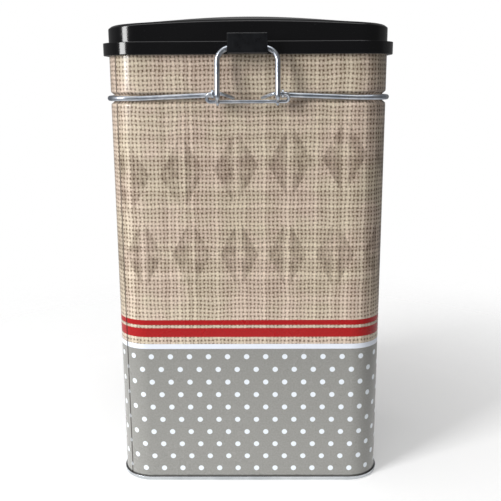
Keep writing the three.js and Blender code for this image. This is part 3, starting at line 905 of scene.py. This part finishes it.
def rear_hinge():
    band_out = BACK_Y + REST_GAP + 2 * WIRE - GROOVE_DEPTH
    foot_y = band_out + REST_GAP + WIRE
    path = rounded(
        [
            (-HINGE_SPAN, foot_y, GROOVE_Z - HINGE_FOOT),
            (-HINGE_SPAN, foot_y, GROOVE_Z + HINGE_STRAIGHT, HINGE_BEND),
            (-HINGE_SPAN, HINGE_LINE.y, HINGE_LINE.z - 2 * HINGE_CORNER, HINGE_BEND),
            (-HINGE_SPAN, HINGE_LINE.y, HINGE_LINE.z, HINGE_CORNER),
            (0, HINGE_LINE.y, HINGE_LINE.z),
        ],
        steps=12,
        closed=False,
    )
    wire_piece("rear_hinge_wire", even(path), WIRE, "tin", "hinge_wire")
    data = bmesh.new()
    swell = [(0.35, 0.5), (0.8, 0.42), (1.0, 0.1)]
    nugget = [(radius, -along) for radius, along in swell] + [(0.92, 0.0)] + swell[::-1]
    for side in (-1, 1):
        centre = Vector((side * HINGE_SPAN, band_out + REST_GAP / 2, GROOVE_Z))
        outline = [(radius * MM, along * MM) for radius, along in nugget]
        revolve(data, outline, centre, "Y", sides=24, closed=False)
    welds = finish_mesh("hinge_welds", data, [ZINC], sharp=60)
    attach(welds, "tin")


# ---- lid --------------------------------------------------------------------------------------

FLANGE_Z = RIM_Z - FLANGE_DROP
SHELF_Z = FLANGE_Z + FLANGE_HEIGHT
STEP_Z = SHELF_Z + STEP_HEIGHT
DOME_Z = STEP_Z + BEVEL_HEIGHT
STEP_OUT = LID_OVERHANG - STEP_INSET
DOME_RINGS = 22


def arch_at(x):
    """Height that the lid's arch adds to its upper edge."""
    return EDGE_ARCH * (1 - (x / HALF_WIDTH) ** 2)


def dome(offset, edge_z):
    """Rings of the pillow-shaped top, from its arched edge towards the middle."""
    b = HALF_DEPTH + offset
    edge = ring(offset, edge_z, PLAIN_STOPS)
    rings = []
    for step in range(DOME_RINGS):
        row = scaled(edge, 1 - step / DOME_RINGS)
        for point in row:
            along = ((point.y - MIDDLE_Y) / b) ** 2
            swell = 1 + (DOME_HEIGHT / EDGE_ARCH - 1) * (1 - along)
            point.z = edge_z + arch_at(point.x) * swell
        rings.append(row)
    return rings


def lid():
    dome_out = STEP_OUT - BEVEL_WIDTH
    walls = profile(
        (STEP_OUT - LID_WALL, STEP_Z - LID_WALL / 2),
        (STEP_OUT - LID_WALL, SHELF_Z - LID_WALL, FINE_EDGE),
        (SKIRT_GAP, SHELF_Z - LID_WALL, FINE_EDGE),
        (SKIRT_GAP, FLANGE_Z, 0.2 * MM),
        (LID_OVERHANG, FLANGE_Z, FINE_EDGE),
        (LID_OVERHANG, SHELF_Z, 0.15 * MM),
        (STEP_OUT, SHELF_Z, FINE_EDGE),
        (STEP_OUT, STEP_Z, SOFT_EDGE),
        (dome_out, DOME_Z, SOFT_EDGE),
        (dome_out - 4 * MM, DOME_Z + 0.25 * MM),
        closed=False,
    )[:-1]
    middle_z = (SHELF_Z + STEP_Z) / 2
    shells = [ring(offset, z, PLAIN_STOPS) for offset, z in walls]
    for point in sum(shells, []):
        if point.z > middle_z:
            point.z += arch_at(point.x)
    inner = dome(dome_out - LID_WALL / 2, DOME_Z - LID_WALL)[::-1]
    outer = dome(dome_out - SOFT_EDGE, DOME_Z + 0.03 * MM)
    rings = inner + shells + outer
    piece = skin("lid_moulding", rings, PLAIN_STOPS, [GLOSS], closed=False)
    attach(piece, "lid")
    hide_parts("lid_shell")


def hook_tab():
    """The hook on the lid's front that the bail's bar drops into."""
    root = FRONT_Y - SKIRT_GAP - LID_WALL / 2
    plate_in = BAIL_BAR_Y - WIRE - REST_GAP
    plate_out = plate_in - TAB_THICKNESS
    web = FLANGE_Z + TAB_WEB
    top = FLANGE_Z + TAB_HEIGHT
    section = profile(
        (root, FLANGE_Z),
        (root, web),
        (plate_in, web, 0.5 * MM),
        (plate_in, top - 1.2 * MM, 0.3 * MM),
        (plate_in - 0.6 * MM, top, 0.2 * MM),
        (plate_out, top, 0.4 * MM),
        (plate_out, FLANGE_Z, 0.8 * MM),
        steps=5,
    )
    piece = plate("hook_tab", section, TAB_HALF_WIDTH, [SATIN], 0.25 * MM)
    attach(piece, "lid")


def hinge_barrel():
    """The barrel on the lid's back, and the web that joins it to the flange."""
    half = HINGE_SPAN - BARREL_INSET
    bore = WIRE + REST_GAP
    ends = [(bore, -half), (BARREL_RADIUS, -half), (BARREL_RADIUS, half), (bore, half)]
    section = profile(*[(radius, along, FINE_EDGE) for radius, along in ends])
    data = bmesh.new()
    revolve(data, section, HINGE_LINE, "X", sides=48)
    barrel = finish_mesh("hinge_barrel", data, [GLOSS])
    root = BACK_Y + SKIRT_GAP + LID_WALL / 2
    near = HINGE_LINE.y - bore - FINE_EDGE
    web = profile(
        (root, FLANGE_Z + 0.1 * MM),
        (near, FLANGE_Z + 0.1 * MM),
        (near, SHELF_Z - 0.5 * MM, 0.4 * MM),
        (root, SHELF_Z - 0.5 * MM),
        steps=5,
    )
    strap = plate("hinge_strap", web, half, [GLOSS], 0.3 * MM)
    for piece in (barrel, strap):
        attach(piece, "lid")


def liner():
    """The plug that closes the mouth, with the lip that holds the seal."""
    bottom = RIM_Z + 0.5 * MM
    top = bottom + LID_WALL
    edge = STEP_OUT - LID_WALL - REST_GAP
    inside = -PLUG_INSET - LID_WALL
    lip = -PLUG_INSET + PLUG_LIP
    lip_z = RIM_Z - PLUG_LIP_DEPTH
    plug_z = RIM_Z - PLUG_DEPTH
    soft = 0.45 * MM
    path = profile(
        (-22 * MM, top - LID_WALL - 0.4 * MM),
        (-20 * MM, top - LID_WALL - 0.4 * MM, 0.3 * MM),
        (-19 * MM, top - LID_WALL, 0.3 * MM),
        (inside, top - LID_WALL, 0.8 * MM),
        (inside, plug_z, soft),
        (-PLUG_INSET, plug_z, soft),
        (-PLUG_INSET, lip_z, 0.2 * MM),
        (lip, lip_z, soft),
        (lip, lip_z + PLUG_LIP_HEIGHT, 0.2 * MM),
        (-PLUG_INSET, lip_z + PLUG_LIP_HEIGHT, 0.2 * MM),
        (-PLUG_INSET, bottom, 0.2 * MM),
        (edge, bottom, 0.2 * MM),
        (edge, top, 0.2 * MM),
        (-22 * MM, top),
        closed=False,
        steps=4,
    )
    rings = []
    for offset, z in path:
        if offset > -CORNER_RADIUS:
            rings.append(ring(offset, z, PLAIN_STOPS))
        else:
            rings.append(scaled(ring(0, z, PLAIN_STOPS), 1 + offset / HALF_DEPTH))
    piece = skin("lid_plug", rings, PLAIN_STOPS, [SATIN], closed=False)
    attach(piece, "lid")
    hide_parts("lid_liner")


def seal():
    low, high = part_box("sealing_ring")
    inner = -PLUG_INSET + REST_GAP
    outer = -HEM_WIDTH - REST_GAP
    section = profile(
        (inner, high.z, 0.3 * MM),
        (inner, low.z, 0.3 * MM),
        (outer, low.z, 0.6 * MM),
        (outer, high.z, 0.6 * MM),
        steps=5,
    )
    rings = [ring(offset, z, PLAIN_STOPS) for offset, z in section]
    piece = skin("seal_ring", rings, PLAIN_STOPS, [SEAL])
    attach(piece, "lid")
    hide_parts("sealing_ring")


body()
base_panel()
neck_band()
lever()
bail()
rear_hinge()
lid()
hook_tab()
hinge_barrel()
liner()
seal()


# ---- stage, light and camera ------------------------------------------------------------------

# The viewpoint, from a camera fitted to the tin's proportions: degrees, metres and millimetres.
CAMERA_YAW = -0.59
CAMERA_PITCH = 12.73
CAMERA_ROLL = -0.32
CAMERA_X = 0.00368
CAMERA_OUT = 0.3283
CAMERA_Z = 0.1651
SENSOR_WIDTH = 36
FOCAL_LENGTH = 53.8

FLOOR_REACH = 0.5
FLOOR_FADE = (0.10, 0.34)  # distance over which the floor fades into the white background


def floor():
    mesh = bpy.data.meshes.new("floor")
    signs = ((-1, -1), (1, -1), (1, 1), (-1, 1))
    corners = [(x * FLOOR_REACH, y * FLOOR_REACH, 0) for x, y in signs]
    mesh.from_pydata(corners, [], [(0, 1, 2, 3)])
    plane = bpy.data.objects.new("floor", mesh)
    bpy.context.scene.collection.objects.link(plane)
    g = Graph("floor")
    x, y, z = g.split(g.object_place())
    far = g.math("SQRT", g.total(g.product(x, x), g.product(y, y)))
    g.set(Base_Color=(0.88, 0.88, 0.88, 1.0), Roughness=0.9, Specular_IOR_Level=0.0)
    g.set(Emission_Color=(1.0, 1.0, 1.0, 1.0), Emission_Strength=0.2)
    g.set(Alpha=g.ramp(far, *FLOOR_FADE, 1.0, 0.0))
    mesh.materials.append(g.material)


def softbox(name, azimuth, elevation, distance, width, height, power, glossy=True):
    """A rectangular lamp that faces the tin. Azimuth 0 is in front, 90 on the right."""
    lamp = bpy.data.lights.new(name, "AREA")
    lamp.shape = "RECTANGLE"
    lamp.size = width
    lamp.size_y = height
    lamp.energy = power
    holder = bpy.data.objects.new(name, lamp)
    a = math.radians(azimuth)
    e = math.radians(elevation)
    aim = Vector((0, MIDDLE_Y, RIM_Z / 2))
    away = Vector((math.sin(a) * math.cos(e), -math.cos(a) * math.cos(e), math.sin(e)))
    holder.location = aim + away * distance
    holder.rotation_mode = "QUATERNION"
    holder.rotation_quaternion = away.to_track_quat("Z", "Y")
    holder.visible_camera = False
    holder.visible_glossy = glossy
    bpy.context.scene.collection.objects.link(holder)


def room():
    """A white room behind the tin and a dim one in front, seen only by reflection."""
    world = bpy.data.worlds.new("room")
    bpy.context.scene.world = world
    world.use_nodes = True
    nodes = world.node_tree.nodes
    links = world.node_tree.links
    background = nodes["Background"]
    direction = nodes.new("ShaderNodeTexCoord")
    parts = nodes.new("ShaderNodeSeparateXYZ")
    links.new(direction.outputs["Generated"], parts.inputs[0])
    depth = nodes.new("ShaderNodeMapRange")
    depth.interpolation_type = "SMOOTHSTEP"
    depth.inputs["From Min"].default_value = -0.22
    depth.inputs["From Max"].default_value = 0.12
    depth.inputs["To Min"].default_value = 0.13
    depth.inputs["To Max"].default_value = 0.20
    links.new(parts.outputs[1], depth.inputs["Value"])
    seen = nodes.new("ShaderNodeLightPath")
    choose = nodes.new("ShaderNodeMix")
    links.new(seen.outputs["Is Camera Ray"], choose.inputs[0])
    links.new(depth.outputs[0], choose.inputs[2])
    choose.inputs[3].default_value = 1.0
    background.inputs["Color"].default_value = (1, 1, 1, 1)
    links.new(choose.outputs[0], background.inputs["Strength"])


def camera():
    """The photograph's viewpoint."""
    yaw = math.radians(CAMERA_YAW)
    pitch = math.radians(CAMERA_PITCH)
    roll = math.radians(CAMERA_ROLL)
    ahead = Vector((math.sin(yaw), math.cos(yaw), 0))
    forward = ahead * math.cos(pitch) - Vector((0, 0, math.sin(pitch)))
    level = Vector((math.cos(yaw), -math.sin(yaw), 0))
    upright = level.cross(forward)
    right = level * math.cos(roll) + upright * math.sin(roll)
    up = right.cross(forward)
    lens = bpy.data.cameras.new("camera")
    lens.sensor_width = SENSOR_WIDTH
    lens.lens = FOCAL_LENGTH
    lens.clip_start = 0.01
    holder = bpy.data.objects.new("camera", lens)
    turn = Matrix((right, up, -forward)).transposed().to_4x4()
    place = Vector((CAMERA_X, MIDDLE_Y - CAMERA_OUT, CAMERA_Z))
    holder.matrix_world = Matrix.Translation(place) @ turn
    bpy.context.scene.collection.objects.link(holder)
    bpy.context.scene.camera = holder


floor()
room()
softbox("window", -51, 20, 1.3, 0.40, 0.8, 17.5)
softbox("ceiling", -10, 80, 1.5, 1.4, 1.2, 12)
softbox("front_fill", -20, 14, 1.8, 1.2, 0.8, 2.5, glossy=False)
camera()
bpy.context.scene.view_settings.view_transform = "Standard"
